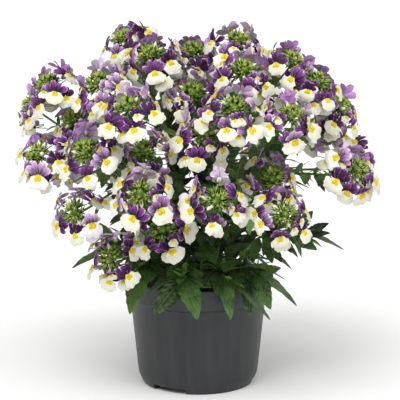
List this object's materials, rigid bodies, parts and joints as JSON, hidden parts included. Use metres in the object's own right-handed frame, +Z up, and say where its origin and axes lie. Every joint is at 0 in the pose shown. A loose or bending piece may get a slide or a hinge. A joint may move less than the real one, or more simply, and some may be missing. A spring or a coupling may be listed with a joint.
{
  "type": "potted nemesia plant",
  "caption": "Bushy nemesia in bloom: wreaths of lipped florets round bud clusters on leafy stems, growing in a round plastic nursery pot.",
  "frame": {"origin": "on the surface that the pot stands on, under the pot's axis, at the middle of the plant's extents", "axes": "+Z up; -Y towards the side that the plant shows best; +X to the right of someone looking at that side"},
  "size_m": [0.2801, 0.2872, 0.2846],
  "materials": {
    "pot_plastic": "satin",
    "potting_soil": "rough",
    "green_plant": "satin",
    "petals": "matte"
  },
  "bodies": {
    "root": {"pot": "pot_plastic", "soil": "potting_soil", "stem_01": "green_plant", "stem_02": "green_plant", "stem_03": "green_plant", "stem_04": "green_plant", "stem_05": "green_plant", "stem_06": "green_plant", "stem_07": "green_plant", "stem_08": "green_plant", "stem_09": "green_plant", "stem_10": "green_plant", "stem_11": "green_plant", "stem_12": "green_plant", "stem_13": "green_plant", "stem_14": "green_plant", "stem_15": "green_plant", "florets_01": "petals", "florets_02": "petals", "florets_03": "petals", "florets_04": "petals", "florets_05": "petals", "florets_06": "petals", "florets_07": "petals", "florets_08": "petals", "florets_09": "petals", "florets_10": "petals", "florets_11": "petals", "florets_12": "petals", "florets_13": "petals", "florets_14": "petals", "florets_15": "petals", "florets_16": "petals", "florets_17": "petals", "florets_18": "petals", "florets_19": "petals", "florets_20": "petals", "florets_21": "petals", "florets_22": "petals", "florets_23": "petals", "florets_24": "petals", "florets_25": "petals", "florets_26": "petals", "florets_27": "petals", "florets_28": "petals", "florets_29": "petals", "florets_30": "petals", "florets_31": "petals", "florets_32": "petals", "florets_33": "petals", "florets_34": "petals", "florets_35": "petals", "florets_36": "petals", "florets_37": "petals", "florets_38": "petals", "florets_39": "petals", "florets_40": "petals", "florets_41": "petals", "florets_42": "petals"}
  },
  "joints": []
}
